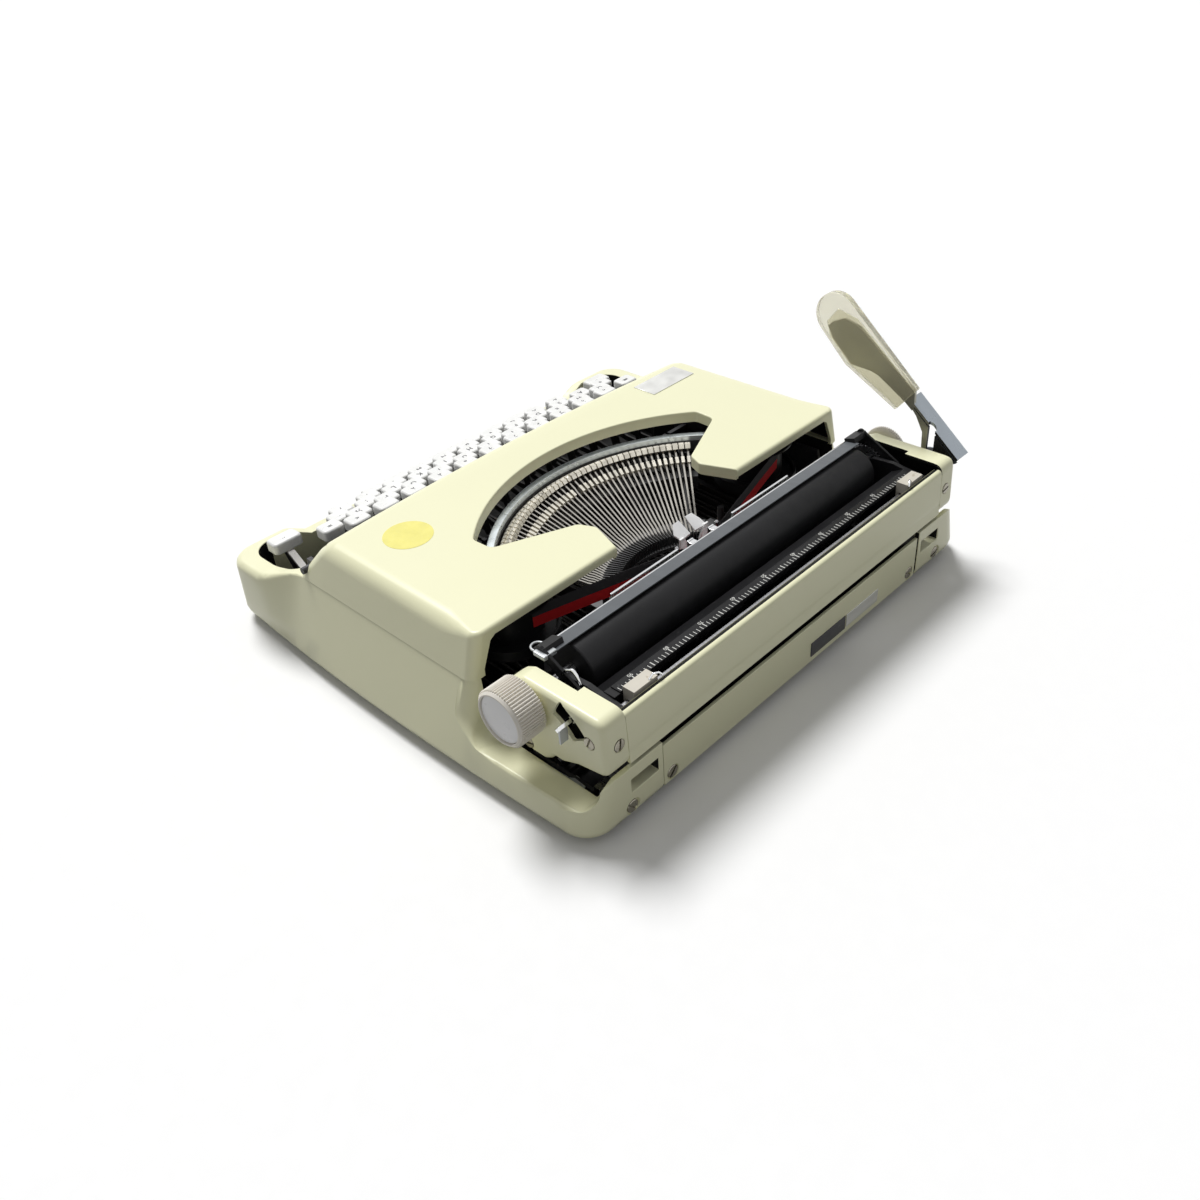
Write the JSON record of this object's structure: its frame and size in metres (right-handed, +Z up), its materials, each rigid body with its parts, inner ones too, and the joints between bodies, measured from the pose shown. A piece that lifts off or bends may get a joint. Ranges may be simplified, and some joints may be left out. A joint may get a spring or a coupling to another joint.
{
  "type": "manual typewriter",
  "caption": "Portable manual typewriter: sliding carriage with platen and return lever, lift-up ribbon cover over a fan of type bars, and a sprung keyboard in a low cream case.",
  "frame": {"origin": "on the resting plane under the middle of the case's box", "axes": "+X to the typist's right along the platen, +Y to the rear of the machine, +Z up"},
  "size_m": [0.34, 0.302, 0.1474],
  "materials": {
    "cream_paint": "semi-gloss pale cream-yellow enamel on sheet metal",
    "ivory_plastic": "smooth ivory moulded plastic",
    "white_keys": "white moulded key tops with dark characters",
    "clear_plastic": "translucent cream plastic sleeve",
    "black_rubber": "matt ground black rubber",
    "black_paint": "satin black enamel",
    "dark_steel": "blued and phosphated steel",
    "steel": "zinc plated sheet steel",
    "chrome": "bright nickel plate",
    "type_metal": "nickel plated type bars and slugs, slightly tarnished",
    "ribbon_cloth": "inked cotton ribbon, black over red"
  },
  "bodies": {
    "case": {"base_shell": "cream_paint", "rear_panel": "cream_paint", "rubber_feet": "black_rubber", "chassis": "steel", "carriage_rails": "steel", "fulcrum_shaft": "steel", "cover_hinge_pins": "steel", "spool_cups": "black_paint", "ribbon": "ribbon_cloth", "card_holder": "steel", "body_screws": "chrome", "label_plates": "dark_steel"},
    "cover": {"top_cover": "cream_paint", "cover_badge": "chrome"},
    "number_row": {"number_row_caps": "white_keys", "number_row_levers": "steel"},
    "upper_row": {"upper_row_caps": "white_keys", "upper_row_levers": "steel"},
    "home_row": {"home_row_caps": "white_keys", "home_row_levers": "steel"},
    "lower_row": {"lower_row_caps": "white_keys", "lower_row_levers": "steel"},
    "letter_key": {"sample_key": "white_keys"},
    "space": {"space_bar": "white_keys"},
    "shift": {"shift_keys": "white_keys"},
    "shift_lock": {"shift_lock_key": "white_keys"},
    "margin_release": {"margin_release_key": "white_keys"},
    "backspace": {"backspace_key": "white_keys"},
    "basket": {"segment": "dark_steel", "type_rest": "steel", "typebars": "type_metal"},
    "letter_bar": {"sample_typebar": "type_metal"},
    "vibrator": {"ribbon_vibrator": "chrome"},
    "spool_left": {"left_spool": "black_paint"},
    "spool_right": {"right_spool": "black_paint"},
    "carriage": {"carriage_frame": "black_paint", "carriage_rear_panel": "cream_paint", "right_end_cap": "cream_paint", "left_end_cap": "cream_paint", "paper_table": "black_paint", "scale_strip": "black_paint", "margin_rail": "steel", "cap_screws": "chrome", "lever_bracket": "dark_steel"},
    "platen_set": {"platen": "black_rubber", "platen_shaft": "steel", "platen_knobs": "ivory_plastic", "knob_discs": "chrome"},
    "feed_front": {"front_feed_roller": "black_rubber"},
    "feed_rear": {"rear_feed_roller": "black_rubber"},
    "bail": {"bail_bar": "steel", "bail_arms": "steel"},
    "paper_release": {"paper_release_lever": "chrome"},
    "stop_left": {"left_margin_stop": "ivory_plastic"},
    "stop_right": {"right_margin_stop": "ivory_plastic"},
    "return_lever": {"return_lever_arm": "steel", "return_lever_paddle": "clear_plastic"},
    "carriage_lock": {"carriage_lock_lever": "steel"},
    "drum": {"mainspring_drum": "dark_steel"},
    "escapement": {"escapement_wheel": "steel"}
  },
  "joints": [
    {"name": "carriage_travel", "type": "slide", "parent": "case", "child": "carriage", "axis": [1, 0, 0], "range_m": [-0.1143, 0.1143]},
    {"name": "platen_turn", "type": "hinge", "parent": "carriage", "child": "platen_set", "pos_m": [0, 0.1002, 0.0575], "axis": [1, 0, 0], "continuous": true},
    {"name": "feed_front_turn", "type": "hinge", "parent": "carriage", "child": "feed_front", "pos_m": [0, 0.0898, 0.03949], "axis": [1, 0, 0], "continuous": true},
    {"name": "feed_rear_turn", "type": "hinge", "parent": "carriage", "child": "feed_rear", "pos_m": [0, 0.1106, 0.03949], "axis": [1, 0, 0], "continuous": true},
    {"name": "bail_swing", "type": "hinge", "parent": "carriage", "child": "bail", "pos_m": [0, 0.1192, 0.0605], "axis": [1, 0, 0], "range_deg": [-75, 0]},
    {"name": "paper_release_swing", "type": "hinge", "parent": "carriage", "child": "paper_release", "pos_m": [0.14, 0.108, 0.0355], "axis": [1, 0, 0], "range_deg": [-12, 12]},
    {"name": "left_stop_slide", "type": "slide", "parent": "carriage", "child": "stop_left", "axis": [1, 0, 0], "range_m": [0, 0.1]},
    {"name": "right_stop_slide", "type": "slide", "parent": "carriage", "child": "stop_right", "axis": [1, 0, 0], "range_m": [-0.1, 0]},
    {"name": "return_lever_swing", "type": "hinge", "parent": "carriage", "child": "return_lever", "pos_m": [-0.1565, 0.129, 0.057], "axis": [0, 0, 1], "range_deg": [0, 32], "stiffness_Nm_per_rad": 0.3, "springref_deg": -17.19},
    {"name": "cover_lift", "type": "hinge", "parent": "case", "child": "cover", "pos_m": [0, -0.076, 0.0572], "axis": [1, 0, 0], "range_deg": [0, 40]},
    {"name": "number_row_press", "type": "hinge", "parent": "case", "child": "number_row", "pos_m": [0, 0.103, 0.0105], "axis": [1, 0, 0], "range_deg": [0, 3.4], "stiffness_Nm_per_rad": 10, "springref_deg": -5.73},
    {"name": "upper_row_press", "type": "hinge", "parent": "case", "child": "upper_row", "pos_m": [0, 0.103, 0.0105], "axis": [1, 0, 0], "range_deg": [0, 3.4], "stiffness_Nm_per_rad": 12, "springref_deg": -5.73},
    {"name": "home_row_press", "type": "hinge", "parent": "case", "child": "home_row", "pos_m": [0, 0.103, 0.0105], "axis": [1, 0, 0], "range_deg": [0, 3.4], "stiffness_Nm_per_rad": 10, "springref_deg": -5.73},
    {"name": "lower_row_press", "type": "hinge", "parent": "case", "child": "lower_row", "pos_m": [0, 0.103, 0.0105], "axis": [1, 0, 0], "range_deg": [0, 3.4], "stiffness_Nm_per_rad": 10, "springref_deg": -5.73},
    {"name": "letter_key_press", "type": "hinge", "parent": "case", "child": "letter_key", "pos_m": [0, 0.103, 0.0105], "axis": [1, 0, 0], "range_deg": [0, 3.4], "stiffness_Nm_per_rad": 1, "springref_deg": -5.73},
    {"name": "space_bar_press", "type": "hinge", "parent": "case", "child": "space", "pos_m": [0, 0.103, 0.0105], "axis": [1, 0, 0], "range_deg": [0, 3.4], "stiffness_Nm_per_rad": 3, "springref_deg": -5.73},
    {"name": "shift_press", "type": "hinge", "parent": "case", "child": "shift", "pos_m": [0, 0.103, 0.0105], "axis": [1, 0, 0], "range_deg": [0, 3.4], "stiffness_Nm_per_rad": 0.02, "springref_deg": -35.52},
    {"name": "shift_lock_press", "type": "hinge", "parent": "case", "child": "shift_lock", "pos_m": [0, 0.103, 0.0105], "axis": [1, 0, 0], "range_deg": [0, 3.4], "stiffness_Nm_per_rad": 1.2, "springref_deg": -5.73},
    {"name": "margin_release_press", "type": "hinge", "parent": "case", "child": "margin_release", "pos_m": [0, 0.103, 0.0105], "axis": [1, 0, 0], "range_deg": [0, 3.4], "stiffness_Nm_per_rad": 1.2, "springref_deg": -5.73},
    {"name": "backspace_press", "type": "hinge", "parent": "case", "child": "backspace", "pos_m": [0, 0.103, 0.0105], "axis": [1, 0, 0], "range_deg": [0, 3.4], "stiffness_Nm_per_rad": 1.2, "springref_deg": -5.73},
    {"name": "basket_shift", "type": "slide", "parent": "case", "child": "basket", "axis": [0, 0, 1], "range_m": [-0.006, 0], "stiffness_N_per_m": 300, "springref_m": 0.014},
    {"name": "typebar_swing", "type": "hinge", "parent": "basket", "child": "letter_bar", "pos_m": [0, 0.02849, 0.032], "axis": [1, 0, 0], "range_deg": [-123.2, 0]},
    {"name": "vibrator_lift", "type": "slide", "parent": "case", "child": "vibrator", "axis": [0, 0, 1], "range_m": [0, 0.008]},
    {"name": "left_spool_turn", "type": "hinge", "parent": "case", "child": "spool_left", "pos_m": [-0.104, 0.038, 0.054], "axis": [0, 0, 1], "continuous": true},
    {"name": "right_spool_turn", "type": "hinge", "parent": "case", "child": "spool_right", "pos_m": [0.104, 0.038, 0.054], "axis": [0, 0, 1], "continuous": true},
    {"name": "carriage_lock_swing", "type": "hinge", "parent": "case", "child": "carriage_lock", "pos_m": [0.144, 0.121, 0.014], "axis": [1, 0, 0], "range_deg": [-8, 8]},
    {"name": "drum_turn", "type": "hinge", "parent": "case", "child": "drum", "pos_m": [-0.095, 0.127, 0.01], "axis": [0, 0, 1], "continuous": true},
    {"name": "escapement_turn", "type": "hinge", "parent": "case", "child": "escapement", "pos_m": [0, 0.1204, 0.013], "axis": [0, 0, 1], "continuous": true}
  ],
  "couplings": [
    {"joint": "feed_front_turn", "follows": "platen_turn", "ratio": -2.4167},
    {"joint": "feed_rear_turn", "follows": "platen_turn", "ratio": -2.4167},
    {"joint": "letter_key_press", "follows": "vibrator_lift", "rad_per_m": 7.4176},
    {"joint": "typebar_swing", "follows": "vibrator_lift", "rad_per_m": -268.77},
    {"joint": "shift_press", "follows": "basket_shift", "rad_per_m": -9.89},
    {"joint": "right_spool_turn", "follows": "left_spool_turn", "ratio": 1},
    {"joint": "drum_turn", "follows": "carriage_travel", "rad_per_m": -83.333},
    {"joint": "escapement_turn", "follows": "carriage_travel", "rad_per_m": -206.14}
  ]
}
